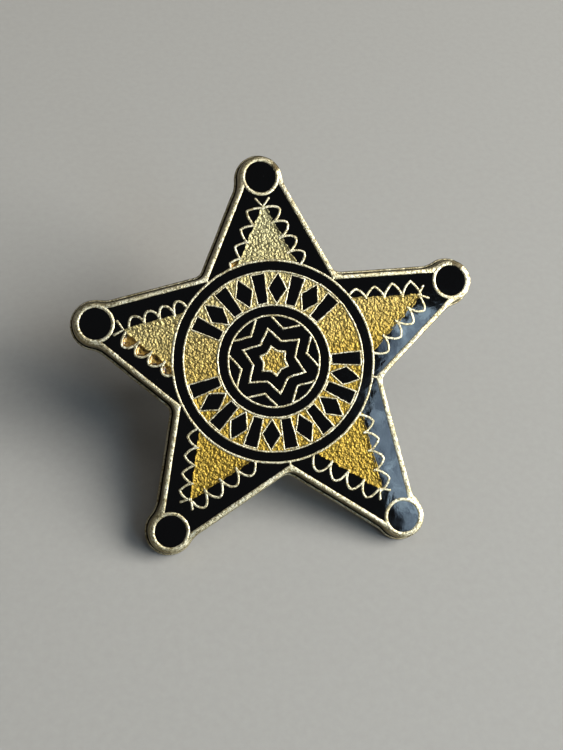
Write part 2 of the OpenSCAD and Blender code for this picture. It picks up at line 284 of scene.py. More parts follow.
def star_outline():
    """The rim's outer edge, clockwise: points, outward normals, and at each the rim's width and how far
    it belongs to a ball."""
    runs = []
    keep_out = DISC_R + UNDER_RING
    for i, arm in enumerate(ARMS):
        n = [edge_normal(i, side) for side in SIDES]
        centre = ball(i)
        hollow, touch = [], []
        for side in SIDES:
            half = arm.half[side]
            back = math.sqrt((BALL_R + NECK_ROUND) ** 2 - (half + NECK_ROUND) ** 2)
            inward = 1 if side == BEFORE else -1
            hollow.append(centre + n[side] * (half + NECK_ROUND) + left_of(n[side]) * back * inward)
            touch.append(unit(hollow[side] - centre))

        def neck(side, start, end):
            points, normals = swept(hollow[side], -NECK_ROUND, start, end)
            width = rim_depth(normals, [n[side]], NECK_ROUND)
            away = points - centre
            towards = (away * normals).sum(1)
            free = towards ** 2 - (away ** 2).sum(1) + keep_out ** 2
            limit = np.where(free > 0, towards - np.sqrt(np.maximum(free, 0)), np.inf)
            share = np.linspace(0, 1, len(points))
            return points, normals, np.minimum(width, limit), share if side == BEFORE else 1 - share

        points, normals = swept(centre, BALL_R, touch[BEFORE], touch[AFTER], long_way=True)
        around_ball = (points, normals, np.full(len(points), BALL_R - keep_out), np.ones(len(points)))
        after = edge_normal((i + 1) % len(ARMS), BEFORE)
        both = n[AFTER] + after
        corner = notch(i) + both * NOTCH_ROUND / (1 + n[AFTER] @ after)
        points, normals = swept(corner, -NOTCH_ROUND, n[AFTER], after)
        width = rim_depth(normals, [n[AFTER], after], NOTCH_ROUND)
        in_notch = (points, normals, width, np.zeros(len(points)))
        runs += [neck(BEFORE, n[BEFORE], touch[BEFORE]), around_ball]
        runs += [neck(AFTER, touch[AFTER], n[AFTER]), in_notch]
    joined = []
    for run, following in zip(runs, runs[1:] + runs[:1]):
        joined.append(run)
        gap = following[0][0] - run[0][-1]
        count = math.ceil(np.linalg.norm(gap) / OUTLINE_STEP)
        if count > 1:
            points = run[0][-1] + gap * (np.arange(1, count) / count)[:, None]
            normals = np.repeat(run[1][-1:], count - 1, 0)
            joined.append((points, normals, np.full(count - 1, RIM_W), np.zeros(count - 1)))
    columns = [np.concatenate([run[k] for run in joined]) for k in range(4)]
    apart = np.linalg.norm(columns[0] - np.roll(columns[0], 1, 0), axis=1) > SAME_POINT
    return [column[apart] for column in columns]


# Ornament

def triangle(i):
    """The corners of an arm's gold triangle, whose foot lies under the medallion's line."""
    arm = ARMS[i]
    foot = MEDAL_R - LINE_W
    return np.array([
        polar(foot, arm.bearing - arm.base[BEFORE]),
        polar(arm.tip_reach, arm.bearing),
        polar(foot, arm.bearing + arm.base[AFTER]),
    ])


def lobe_start(row, k):
    """How far along the side of its triangle the lobe with number k starts."""
    widened = 1 - row.widening * (LOBE_COUNT - k) / (LOBE_COUNT - 1) / 2
    return row.row_start + (row.row_end - row.row_start) * widened * k / LOBE_COUNT


def lobe(i, side, k):
    """Closed outline of one lobe, clockwise, on the side of a triangle."""
    row = LOBES[i][side]
    corners = triangle(i)
    foot = corners[0 if side == BEFORE else 2]
    run = corners[1] - foot
    out = left_of(unit(run)) * (1 if side == BEFORE else -1)
    low = foot + run * lobe_start(row, k)
    pitch = run * (lobe_start(row, k + 1) - lobe_start(row, k))
    h = row.low_h + (row.high_h - row.low_h) * k / (LOBE_COUNT - 1)
    angle = np.arange(0, 181, LOBE_STEP)
    power = 2 / row.fullness
    bend = np.abs(np.cos(np.radians(angle))) ** power
    u = np.where(angle <= 90, row.crown * (1 - bend), row.crown + (1 - row.crown) * bend)
    rise = h * np.abs(np.sin(np.radians(angle))) ** power
    arch = low + pitch * u[:, None] + out * rise[:, None]
    return arch if side == BEFORE else arch[::-1]


CRUMBLE_SHIFT = np.array([0.16, 0.0])


def grained_triangle(i):
    """The triangle that the grain fills, whose sides that face right have crumbled outwards."""
    corners = triangle(i)
    normals = left_of(unit(np.roll(corners, -1, 0) - corners))
    reach = (normals * corners).sum(1) + np.maximum(0, normals @ CRUMBLE_SHIFT)
    pairs = np.stack([np.roll(normals, 1, 0), normals], 1)
    return np.linalg.solve(pairs, np.stack([np.roll(reach, 1), reach], 1)[..., None])[..., 0]


ARCH_STEP = 0.05


def lobe_arch(i, side, k):
    """The same lobe as an open path from inside the triangle's edge, cut off at the medallion's line."""
    loop = lobe(i, side, k)
    chord = unit(loop[-1] - loop[0])
    into = -left_of(chord) * LINE_W / 2
    fine = finer(np.concatenate([[loop[0] + into], loop, [loop[-1] + into]]), ARCH_STEP)
    return fine[np.linalg.norm(fine, axis=1) > MEDAL_R - LINE_W / 2]


def notch_rib(i):
    """The short rib between the medallion and the rim in a notch, as an open path."""
    arm = ARMS[i % len(ARMS)]
    reaches = (MEDAL_R - LINE_W / 2, arm.notch_reach - RIM_W / 2)
    return np.array([polar(reach, arm.notch_after) for reach in reaches])


def is_thin(i, side, k):
    """The thinly filled cells: the lobes of one side of the left arm, and one of the top arm."""
    return (i == LEFT and side == BEFORE) or (i == TOP and side == BEFORE and k == 0)


def capsule(start, end, r_start, r_end):
    """Clockwise outline round a stroke whose two round ends may differ."""
    along = math.degrees(math.atan2(*(end - start)))
    turns = np.arange(-90, 91, 30)
    round_end = end + polar(r_end, along + turns)
    round_start = start + polar(r_start, along + 180 + turns)
    return np.concatenate([round_end, round_start])


STROKE_ENDS = (LINE_W * 0.42, LINE_W * 0.62)


def strokes(i):
    """Outlines of the two short strokes at the tip of a triangle."""
    tip = triangle(i)[1]
    ends = [tip + polar(STROKE, ARMS[i].bearing + side * STROKE_ANGLE) for side in (-1, 1)]
    return [capsule(tip, end, *STROKE_ENDS) for end in ends]


def band_items(count, middle):
    """A row of bars and lozenges in turn, with a bar at each end."""
    low, high = BAND_IN + ITEM_LINE, BAND_R - ITEM_LINE
    items = []
    for k in range(count):
        bearing = middle + (k - (count - 1) / 2) * ITEM_STEP
        if k % 2 == 0:
            before, after = bearing - BAR_SPAN / 2, bearing + BAR_SPAN / 2
            corners = [(low, before), (high, before), (high, after), (low, after)]
        else:
            mid = (low + high) / 2
            wide = LOZENGE_SPAN / 2
            corners = [(low, bearing), (mid, bearing - wide), (high, bearing), (mid, bearing + wide)]
        items.append(np.array([polar(*corner) for corner in corners]))
    return items


ITEM_ROWS = (("upper", UPPER_COUNT, UPPER_MID), ("lower", LOWER_COUNT, LOWER_MID))


def all_items():
    """The bars and lozenges of both rows."""
    return [item for _, count, middle in ITEM_ROWS for item in band_items(count, middle)]


def hex_star(tip, valley):
    """The outline of a six-pointed star."""
    points = []
    for k in range(HEX_POINTS):
        points += [polar(tip, HEX_TURN + HEX_STEP * k), polar(valley, HEX_TURN + HEX_STEP * (k + 0.5))]
    return np.array(points)


STAR = hex_star(HEX_TIP, HEX_VALLEY)
CORE = hex_star(CORE_TIP, CORE_VALLEY)


def chevron(k):
    """A corner between two tips of the star, and two points past the edge of its round field."""
    bearing = HEX_TURN + CHEVRON_TURN + HEX_STEP * (k + 0.5)
    corner = polar(CHEVRON_IN, bearing)
    ends = [corner + (polar(FIELD_R, bearing + turn) - corner) * CHEVRON_REACH
            for turn in (-CHEVRON_SPAN, CHEVRON_SPAN)]
    return np.array([corner] + ends)


# Solids. Each is (points, faces, relief), where relief goes from 0 in the hollows to 1 on top. The plate's
# relief is set row by row instead, and paints shade and highlight into the brass.

def at_height(loop, z):
    return np.column_stack([loop, np.broadcast_to(z, len(loop))])


def height_share(z):
    """How high z lies between the floor of the pockets, at 0, and the top of the metal, at 1."""
    return min(1, max(0, (z - POCKET_FLOOR) / (THICKNESS - POCKET_FLOOR)))


def swept_faces(rings, count, closed):
    """Faces between rings of count points each, numbered in turn."""
    i = np.arange(count)
    following = (i + 1) % count
    faces = []
    for j in range(rings if closed else rings - 1):
        here, above = j * count, (j + 1) % rings * count
        faces.append(np.column_stack([here + i, above + i, above + following, here + following]))
    return np.concatenate(faces).tolist()


def end_caps(rings, count):
    """The two faces that close a stack of rings of count points each."""
    last = count * (rings - 1)
    return [list(range(count)), list(range(last + count - 1, last - 1, -1))]


LINE_STEP = 0.07


def moulding(loop, rows, closed=True, step=LINE_STEP):
    """A profile of (offset, height) rows swept round a clockwise loop; an open one is capped at both ends."""
    fine = resampled(loop, step)
    rings = [at_height(grown(fine, offset), z) for offset, z in rows]
    faces = swept_faces(len(rows), len(fine), closed)
    if not closed:
        faces += end_caps(len(rows), len(fine))
    relief = np.repeat([height_share(z) for _, z in rows], len(fine))
    return np.concatenate(rings), faces, relief


def ribbon(path, rows):
    """A profile of (offset, height) rows swept along an open path, with positive offsets to its left."""
    fine = finer(path, LINE_STEP)
    normals = left_of(unit(np.diff(fine, axis=0)))
    n1 = np.concatenate([normals[:1], normals])
    n2 = np.concatenate([normals, normals[-1:]])
    mitre = (n1 + n2) / (1 + (n1 * n2).sum(1, keepdims=True))
    rings = [at_height(fine + mitre * offset, z) for offset, z in rows]
    count = len(fine)
    i = np.arange(count - 1)
    faces = []
    for j in range(len(rows)):
        here, above = j * count, (j + 1) % len(rows) * count
        faces.append(np.column_stack([here + i, above + i, above + i + 1, here + i + 1]))
    faces = np.concatenate(faces).tolist()
    faces.append([j * count for j in reversed(range(len(rows)))])
    faces.append([j * count + count - 1 for j in range(len(rows))])
    return np.concatenate(rings), faces, np.repeat([height_share(z) for _, z in rows], count)


# Raised metal reaches into the plate under it and has a slightly wider foot
METAL_BOTTOM = POCKET_FLOOR - 0.01
FOOT_OUT = 0.01
FOOT_TOP = POCKET_FLOOR + 0.15
LINE_SHOULDER = 0.03
STROKE_SHOULDER = 0.05
LINE_DOME = 0.008
DRAWN_W = LINE_W + 0.015


def round_side(half, top, r):
    """Rows up one side of a raised line, with a round shoulder."""
    turns = np.radians([0, 30, 60, 90])
    rows = [(half - r + r * math.cos(a), top - r + r * math.sin(a)) for a in turns]
    return [(half + FOOT_OUT, METAL_BOTTOM), (half, FOOT_TOP)] + rows


def ridge(width, top=THICKNESS, dome=LINE_DOME):
    """Rows of a raised line with round shoulders and a slightly domed top."""
    half = width / 2
    up = round_side(half, top - dome, LINE_SHOULDER)
    return up + [(0, top)] + [(-offset, z) for offset, z in reversed(up)]


def mound(loop):
    """A raised stroke: its outline goes up and closes over."""
    return moulding(loop, round_side(0, THICKNESS, STROKE_SHOULDER), closed=False)


def slab(xy, faces, top, bottom, relief):
    """Closes a flat mesh with heights of its own into a solid with a flat bottom."""
    edges = np.concatenate([faces[:, [0, 1]], faces[:, [1, 2]], faces[:, [2, 0]]])
    known = set(map(tuple, edges.tolist()))
    rim = np.array([edge for edge in known if edge[::-1] not in known])
    rim = rim[np.lexsort((rim[:, 1], rim[:, 0]))]
    count = len(xy)
    sides = np.column_stack([rim[:, 0], rim[:, 0] + count, rim[:, 1] + count, rim[:, 1]])
    points = np.concatenate([at_height(xy, top), at_height(xy, bottom)])
    all_faces = faces.tolist() + (faces[:, ::-1] + count).tolist() + sides.tolist()
    return points, all_faces, np.concatenate([relief, np.zeros(count)])


SAME_PLACE = 1e-5
NO_AREA = 1e-9


def triangulated(loops, inside, free):
    """Fills the region between some loops with triangles that use the free points too."""
    points, edges = [], []
    for loop in loops:
        start, count = len(points), len(loop)
        points += loop.tolist()
        edges += [(start + k, start + (k + 1) % count) for k in range(count)]
    points += free.tolist()
    found = delaunay_2d_cdt([Vector(p) for p in points], edges, [], 0, SAME_PLACE, False)
    xy = np.array([tuple(p) for p in found[0]])
    faces = np.array(found[2])
    faces = faces[inside(xy[faces].mean(1))]
    a, b, c = (xy[faces[:, k]] for k in range(3))
    area = (b[:, 0] - a[:, 0]) * (c[:, 1] - a[:, 1]) - (b[:, 1] - a[:, 1]) * (c[:, 0] - a[:, 0])
    faces = np.where((area < 0)[:, None], faces[:, ::-1], faces)
    faces = faces[np.abs(area) > NO_AREA]
    used, faces = np.unique(faces, return_inverse=True)
    return xy[used], faces.reshape(-1, 3)


JITTER = 0.3


def hex_grid(low, high, spacing, seed):
    """Points of a jittered hexagonal grid over a box."""
    rise = spacing * math.sqrt(3) / 2
    rows = np.arange(math.floor(low[1] / rise), math.ceil(high[1] / rise) + 1)
    columns = np.arange(math.floor(low[0] / spacing) - 1, math.ceil(high[0] / spacing) + 1)
    row, column = np.meshgrid(rows, columns, indexing="ij")
    row, column = row.ravel(), column.ravel()
    jitter = np.stack([hashed(row, column, seed), hashed(row, column, seed + 1)], 1) - 0.5
    grid = np.stack([(column + 0.5 * (row % 2)) * spacing, row * rise], 1)
    return grid + jitter * spacing * JITTER


# How far a region runs on under the metal, and which points near its walls it keeps
HIDDEN = 0.03
ROW_MARGIN = 0.1
EDGE_MARGIN = 0.3
ROW_SHARE = 0.9
ROW_SLACK = 0.002
GRID_SHARE = 0.6


def region(walls, rows, spacing, step, seed):
    """A flat mesh between metal walls, and how far each of its points lies from them.

    Each wall is (clockwise loop, side): the region lies outside it for side 1, and inside it for side -1.
    The mesh runs on a little under the metal. Rows of points follow the walls at some distances."""
    loops = [loop for loop, _ in walls]
    under = [(grown(loop, -side * HIDDEN), side) for loop, side in walls]
    bounding = [loop for loop, side in walls if side < 0]
    low = np.max([loop.min(0) for loop in bounding], axis=0)
    high = np.min([loop.max(0) for loop in bounding], axis=0)

    def inside(points):
        found = np.ones(len(points), bool)
        for loop, side in under:
            found &= within(points, loop) == (side < 0)
        return found

    free = []
    for loop, side in walls:
        fine = resampled(loop, step)
        for row in rows:
            points = grown(fine, side * row)
            near = (points > low - ROW_MARGIN) & (points < high + ROW_MARGIN)
            points = points[np.all(near, axis=1)]
            points = points[inside(points)]
            if len(points):
                free.append(points[distance(points, loops) > row * ROW_SHARE - ROW_SLACK])
    grid = hex_grid(low, high, spacing, seed)
    grid = grid[inside(grid)]
    if len(grid):
        free.append(grid[distance(grid, loops) > max(rows) + spacing * GRID_SHARE])
    edges = []
    for loop, _ in under:
        fine = resampled(loop, step)
        near = (fine > low - EDGE_MARGIN) & (fine < high + EDGE_MARGIN)
        if np.all(near, axis=1).any():
            edges.append(fine)
    xy, faces = triangulated(edges, inside, np.concatenate(free))
    return xy, faces, distance(xy, loops)


# The surface of the enamel
MENISCUS_ROWS = (0.0, 0.025, 0.06, 0.11, 0.18)
MENISCUS_REACH = 0.05
ENAMEL_BOTTOM = POCKET_FLOOR + 0.02
ENAMEL_SPACING = 0.2
ENAMEL_STEP = 0.08
SWELL = 0.004
SWELL_LENGTH = 1.7
RIPPLE = 0.001
RIPPLE_LENGTH = 0.6
RING_SWELL = 0.006
RING_STEP = 0.1
THIN_LEVEL = POCKET_FLOOR + 0.2
THIN_CLIMB = 0.12


def enamel(walls, level=ENAMEL_TOP, climb=0.0, seed=11):
    """A pool of enamel with a slightly uneven surface, which rises by climb at the metal."""
    xy, faces, gap = region(walls, MENISCUS_ROWS, ENAMEL_SPACING, ENAMEL_STEP, seed)
    top = level + climb * np.exp(-gap / MENISCUS_REACH) - SWELL
    top = top + SWELL * smooth_noise(xy, SWELL_LENGTH, seed + 2)
    top = top + RIPPLE * smooth_noise(xy, RIPPLE_LENGTH, seed + 3)
    return slab(xy, faces, top, ENAMEL_BOTTOM, np.ones(len(xy)))


# The grain of the gold panels
GRAIN_ROWS = (0.0, 0.03)
GRAIN_SPACING = 0.036
GRAIN_STEP = 0.06
GRAIN_LOW = PANEL_TOP - 0.03
GRAIN_HIGH = THICKNESS - 0.01
GRAIN_DEEP = 0.14
LARGE_LUMP = 0.2
SMALL_LUMP = 0.1
LUMPS_APART = 7
PANEL_SWELL = 0.012
PANEL_SWELL_LENGTH = 0.8


def grain_lumps(xy, seed):
    """Broken grain with large and small lumps, from 0 to about 1."""
    return 0.5 * grain(xy, LARGE_LUMP, seed) + 0.5 * grain(xy + LUMPS_APART, SMALL_LUMP, seed + 5)


def gold_panel(walls, seed):
    """A panel of crumbly grain."""
    xy, faces, _ = region(walls, GRAIN_ROWS, GRAIN_SPACING, GRAIN_STEP, seed)
    lumps = grain_lumps(xy, seed)
    top = GRAIN_LOW + GRAIN_DEEP * lumps + PANEL_SWELL * smooth_noise(xy, PANEL_SWELL_LENGTH, seed + 9)
    # The lumps are the relief, which paints the pits dark as shade.
    return slab(xy, faces, np.minimum(top, GRAIN_HIGH), METAL_BOTTOM, lumps)


# The ragged border of a grained triangle
CRUMBLE_OUT = 0.14
BORDER_IN = 0.03
BORDER_W = 0.08
BORDER_LIFT = 0.07
BORDER_BRIGHT = 4
WANDER = 0.06
WANDER_LENGTH = 0.22
NIBBLE = 0.03
NIBBLE_LENGTH = 0.1
FALL = 0.2
FALL_W = 0.1


def gold_triangle(i):
    """The grain of a triangle, with a raised ragged edge whose lumps break out through the enamel."""
    seed = 200 + 10 * i
    edge = grained_triangle(i)
    walls = [(grown(edge, CRUMBLE_OUT), -1), (circle(CENTRE, MEDAL_R), 1)]
    xy, faces, _ = region(walls, GRAIN_ROWS, GRAIN_SPACING, GRAIN_STEP, seed)
    inside = np.where(within(xy, edge), 1, -1) * distance(xy, [edge]) + BORDER_IN
    inside = inside + WANDER * smooth_noise(xy, WANDER_LENGTH, seed + 3)
    inside = inside + NIBBLE * smooth_noise(xy, NIBBLE_LENGTH, seed + 4)
    lumps = grain_lumps(xy, seed)
    lift = BORDER_LIFT * np.exp(-(inside / BORDER_W) ** 2)
    fall = FALL * np.clip(-inside / FALL_W, 0, 1)
    top = GRAIN_LOW + GRAIN_DEEP * lumps + lift - fall
    # The relief paints shade into the pits and a highlight onto the raised border.
    relief = np.clip(lumps + lift * BORDER_BRIGHT, 0, 1)
    return slab(xy, faces, np.minimum(top, GRAIN_HIGH), METAL_BOTTOM, relief)


SINK_WIDER = 1.7


def roughened(solid, amount, cell, seed, sink=0.0):
    """The same solid with its points moved a little across the plane, and its top lowered in places."""
    points, faces, relief = solid
    across = np.stack([smooth_noise(points, cell, seed + k) for k in range(2)], 1) * amount
    down = sink * (0.5 + 0.5 * smooth_noise(points, cell * SINK_WIDER, seed + 2)) * relief
    moved = points.copy()
    moved[:, :2] += across
    moved[:, 2] -= down
    return moved, faces, relief


# The relief of evenly tarnished metal
DULL = 0.5


def lathe(profile, count=48):
    """A closed turned solid from (radius, height) rows, which go up its outside."""
    bearings = np.arange(count) * 360 / count
    rings = [at_height(polar(r, bearings), z) for r, z in profile]
    faces = swept_faces(len(profile), count, False) + end_caps(len(profile), count)
    return np.concatenate(rings), faces, np.full(count * len(profile), DULL)


# Where the star stands

def seat():
    """Turns the star so that its two lower balls are level, and leans it on them and on the post's end."""
    line = ball(LOWER_RIGHT) - ball(LOWER_LEFT)
    turn = -math.atan2(line[1], line[0])
    turned = Matrix.Rotation(turn, 2)
    ball_flange = FLANGE_OUT * BALL_SHARE
    foot_r = BALL_R + ball_flange
    drop = foot_r - (turned @ Vector(ball(LOWER_RIGHT)))[1]
    lean = math.atan(POST_LEN / (drop - POINT_R))
    left = (turned @ Vector(ball(LEFT)))[0] - foot_r
    right = (turned @ Vector(ball(RIGHT)))[0] + foot_r
    back = ((turned @ Vector(ball(TOP)))[1] + foot_r) * math.cos(lean)
    front = -(drop - ball_flange) * math.cos(lean) - THICKNESS * math.sin(lean)
    place = Vector((-(left + right) / 2, -(front + back) / 2, drop * math.sin(lean)))
    return Matrix.Translation(place) @ Matrix.Rotation(lean, 4, "X") @ Matrix.Rotation(turn, 4, "Z")


SEAT = seat()
SEAT_ARRAY = np.array(SEAT)
SHARP_ANGLE = math.radians(55)


def linked(name, data):
    """A new object in the scene."""
    made = bpy.data.objects.new(name, data)
    bpy.context.scene.collection.objects.link(made)
    return made


def piece(name, solids, material, slot, *nodes):
    """One object from some solids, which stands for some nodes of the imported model."""
    points = np.concatenate([solid[0] for solid in solids])
    world = (points @ SEAT_ARRAY[:3, :3].T + SEAT_ARRAY[:3, 3]) * MM
    faces = []
    start = 0
    for solid in solids:
        faces += [[start + k for k in face] for face in solid[1]]
        start += len(solid[0])
    mesh = bpy.data.meshes.new(name)
    mesh.from_pydata(world.tolist(), [], faces)
    relief = mesh.attributes.new("relief", "FLOAT", "POINT")
    relief.data.foreach_set("value", np.concatenate([solid[2] for solid in solids]).astype(np.float32))
    mesh.shade_smooth()
    mesh.set_sharp_from_angle(angle=SHARP_ANGLE)
    mesh.materials.append(material)
    made = linked(name, mesh)
    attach(made, "root")
    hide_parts(*nodes)


# Materials

class Paint:
    """A material whose patterns are worked out from the place on the object, in millimetres."""

    def __init__(self, name):
        self.material = bpy.data.materials.new(name)
        self.material.use_nodes = True
        self.nodes = self.material.node_tree.nodes
        self.links = self.material.node_tree.links
        self.shader = self.nodes["Principled BSDF"]
        place = self.node("TexCoord", "Object")
        self.mm = self.node("VectorMath", 0, {0: place, "Scale": 1 / MM}, "SCALE")

    def feed(self, value, socket):
        """Links the output of a node to a socket, or gives the socket a plain value."""
        if hasattr(value, "is_output"):
            self.links.new(value, socket)
        else:
            socket.default_value = value

    def node(self, kind, output, inputs=(), operation=None):
        """An output of a new node that gets those inputs."""
        node = self.nodes.new("ShaderNode" + kind)
        if operation:
            node.operation = operation
        for name, value in dict(inputs).items():
            self.feed(value, node.inputs[name])
        return node.outputs[output]

    def set(self, **values):
        for name, value in values.items():
            self.feed(value, self.shader.inputs[name.replace("_", " ")])

    def stretched(self, x, y, z):
        return self.node("VectorMath", 0, {0: self.mm, 1: (x, y, z)}, "MULTIPLY")

    def noise(self, size, detail=2.0, rough=0.5, warp=0.0, place=None):
        """Noise from 0 to 1 whose bumps are about size millimetres wide."""
        inputs = {"Vector": place or self.mm, "Scale": 1 / size, "Detail": detail}
        return self.node("TexNoise", "Fac", inputs | {"Roughness": rough, "Distortion": warp})

    def cells(self, size):
        """Distance to the nearest of many scattered points about size millimetres apart."""
        return self.node("TexVoronoi", "Distance", {"Vector": self.mm, "Scale": 1 / size})

    def attribute(self, name):
        node = self.nodes.new("ShaderNodeAttribute")
        node.attribute_name = name
        return node.outputs["Fac"]

    def axis(self, index):
        return self.node("SeparateXYZ", index, {0: self.mm})

    def math(self, operation, a, b=0.0):
        return self.node("Math", 0, {0: a, 1: b}, operation)

    def span(self, value, low, high, to_low=0.0, to_high=1.0):
        """Turns values from low to high into values from to_low to to_high, and no further."""
        ends = {"From Min": low, "From Max": high, "To Min": to_low, "To Max": to_high}
        return self.node("MapRange", "Result", {"Value": value} | ends)

    def mix(self, share, first, second):
        """A colour between two. Inputs 6 and 7 and output 2 of this node are those for colours."""
        node = self.nodes.new("ShaderNodeMix")
        node.data_type = "RGBA"
        sockets = (node.inputs["Factor"], node.inputs[6], node.inputs[7])
        for socket, value in zip(sockets, (share, first, second)):
            self.feed((*value, 1.0) if isinstance(value, tuple) else value, socket)
        return node.outputs[2]

    def patch(self, centre, reach):
        """A broken patch round a point on top of the star, 0.9 in its middle and 0 past its reach."""
        middle = SEAT @ Vector((*centre, THICKNESS))
        away = self.node("VectorMath", "Value", {0: self.mm, 1: middle}, "DISTANCE")
        ragged = self.span(self.noise(0.2, 3, 0.7), 0.3, 0.7, -0.6 * reach, 0.6 * reach)
        return self.span(self.math("ADD", away, ragged), 0.7 * reach, reach, 0.9, 0.0)

    def bump(self, height, depth, under=None):
        """Bumps of that height, with depth in millimetres."""
        inputs = {"Strength": 1.0, "Distance": depth * MM, "Height": height}
        if under:
            inputs["Normal"] = under
        return self.node("Bump", "Normal", inputs)


# Brown nibbled spots on the rims of the right and the top ball: middles and reaches
STAINS = [
    (ball(RIGHT) + np.array([0.5, 1.1]), 0.6),
    (ball(TOP) + np.array([0.95, 0.7]), 0.35),
]


# Colours, as linear red, green and blue
YELLOW_BRASS = (0.60, 0.53, 0.33)
PALE_BRASS = (0.76, 0.71, 0.52)
BRASS_SPECK = (0.22, 0.175, 0.08)
BRASS_STAIN = (0.045, 0.03, 0.012)
# Tarnish in the hollows, which also serves as painted shade on the star's edge, and the painted shade of the
# edge's darkest lines
DARK_TARNISH_AND_SHADE = (0.13, 0.1, 0.045)
LIGHT_TARNISH_AND_SHADE = (0.32, 0.26, 0.13)
PAINTED_SHADE = (0.02, 0.016, 0.009)
# Grain colours in the painted cooler and warmer light, on the lumps and in the pits painted dark as shade
COOL_GRAIN = (0.42, 0.415, 0.262)
WARM_GRAIN = (0.37, 0.253, 0.047)
COOL_PIT = (0.105, 0.098, 0.05)
WARM_PIT = (0.11, 0.066, 0.007)
ENAMEL_BLACK = (0.0012, 0.0013, 0.0016)
DUST = (0.06, 0.06, 0.06)
# The brown film, and the bright gold of its painted highlights
BROWN_FILM = (0.045, 0.022, 0.005)
GOLD_HIGHLIGHT = (0.56, 0.33, 0.07)
DARK_CARD = (0.33, 0.325, 0.305)
LIGHT_CARD = (0.38, 0.375, 0.355)
DIM_GLOW = (0.09, 0.13, 0.18)
SOFT_GLOW = (0.26, 0.35, 0.45)
BRIGHT_GLOW = (0.62, 0.84, 1.0)
WORLD_GREY = (0.70, 0.70, 0.70, 1)


def brass():
    """Worn bright brass, tarnished in the hollows. The relief also paints shade into it, darkest on the lines
    of the star's edge, and a highlight on the side that faces the light.
    """
    paint = Paint("brass")
    patches = paint.span(paint.noise(1.1, 3), 0.35, 0.65)
    colour = paint.mix(patches, YELLOW_BRASS, PALE_BRASS)
    specks = paint.span(paint.noise(0.15, 2, 0.7), 0.5, 0.58, 0.0, 0.85)
    colour = paint.mix(specks, colour, BRASS_SPECK)
    for centre, reach in STAINS:
        colour = paint.mix(paint.patch(centre, reach), colour, BRASS_STAIN)
    relief = paint.attribute("relief")
    tarnish_and_shade = paint.mix(paint.noise(0.5, 4), DARK_TARNISH_AND_SHADE, LIGHT_TARNISH_AND_SHADE)
    # The lowest relief, on the lines of the star's edge, is painted darkest as shade.
    tarnish_and_shade = paint.mix(paint.span(relief, 0.12, 0.38), PAINTED_SHADE, tarnish_and_shade)
    colour = paint.mix(paint.span(relief, 0.5, 0.85), tarnish_and_shade, colour)
    rough = paint.span(paint.noise(0.1, 3, 0.6), 0.3, 0.7, 0.32, 0.52)
    dents = paint.bump(paint.noise(0.5, 2), 0.012)
    paint.set(Base_Color=colour, Metallic=1.0, Roughness=rough,
              Normal=paint.bump(paint.noise(0.12, 3, 0.6), 0.035, dents))
    return paint.material


def gold_grain():
    """Coarse bright grain with painted light: greener at the upper left, warmer at the lower right, and
    painted shade in its pits.
    """
    paint = Paint("gold_grain")
    # Painted light: the grain's colour turns from the cooler light at the upper left to the warmer light at
    # the lower right.
    across = paint.math("SUBTRACT", paint.math("MULTIPLY", paint.axis(0), 0.25), paint.axis(1))
    warm_light = paint.span(across, -9.0, 2.0)
    bright = paint.mix(warm_light, COOL_GRAIN, WARM_GRAIN)
    deep = paint.mix(warm_light, COOL_PIT, WARM_PIT)
    # The pits are painted dark as shade.
    height = paint.span(paint.attribute("relief"), 0.1, 0.5)
    colour = paint.mix(height, deep, bright)
    rough = paint.span(paint.noise(0.12, 2), 0.3, 0.7, 0.38, 0.6)
    paint.set(Base_Color=colour, Metallic=1.0, Roughness=rough,
              Normal=paint.bump(paint.noise(0.05, 3, 0.65), 0.012))
    return paint.material


def black_enamel():
    """Glossy black enamel with specks of dust, faint ripples and a finer unevenness."""
    paint = Paint("black_enamel")
    dust = paint.span(paint.cells(0.5), 0.0, 0.035, 1.0, 0.0)
    colour = paint.mix(dust, ENAMEL_BLACK, DUST)
    rough = paint.span(paint.noise(0.9, 3), 0.35, 0.7, 0.025, 0.06)
    ripples = paint.bump(paint.noise(1.2, 2, 0.5, 0.6), 0.004)
    paint.set(Base_Color=colour, Roughness=rough, IOR=1.5,
              Normal=paint.bump(paint.noise(0.12, 2), 0.0005, ripples))
    return paint.material


def thin_enamel():
    """A brown film over the gold floor, with bright gold spots of painted highlight."""
    paint = Paint("thin_enamel")
    highlight_spots = paint.span(paint.noise(0.26, 3, 0.6), 0.42, 0.56)
    colour = paint.mix(highlight_spots, BROWN_FILM, GOLD_HIGHLIGHT)
    paint.set(Base_Color=colour, Metallic=0.75, Roughness=0.3, Coat_Weight=1.0, Coat_Roughness=0.08,
              Normal=paint.bump(paint.noise(0.2, 3), 0.05))
    return paint.material


def floor_card():
    """Plain pale warm grey."""
    paint = Paint("floor_card")
    colour = paint.mix(paint.noise(0.5, 4, 0.6), DARK_CARD, LIGHT_CARD)
    paint.set(Base_Color=colour, Roughness=0.9)
    return paint.material


def softbox_glow():
    """A cool glow with faint uneven streaks."""
    paint = Paint("softbox_glow")
    along = paint.stretched(1.0, 0.3, 1.0)
    streaks = paint.noise(11, 3, 0.6, 2.0, along)
    colour = paint.mix(paint.span(streaks, 0.38, 0.62), DIM_GLOW, SOFT_GLOW)
    waves = paint.math("ABSOLUTE", paint.math("SUBTRACT", paint.noise(7, 2, 0.5, 1.0, along), 0.5))
    colour = paint.mix(paint.span(waves, 0.0, 0.03, 1.0, 0.0), colour, BRIGHT_GLOW)
    paint.set(Base_Color=(0, 0, 0, 1), Emission_Color=colour, Emission_Strength=12.0)
    return paint.material


# Pieces

BRASS = brass()
GOLD = gold_grain()
BLACK = black_enamel()
THIN = thin_enamel()

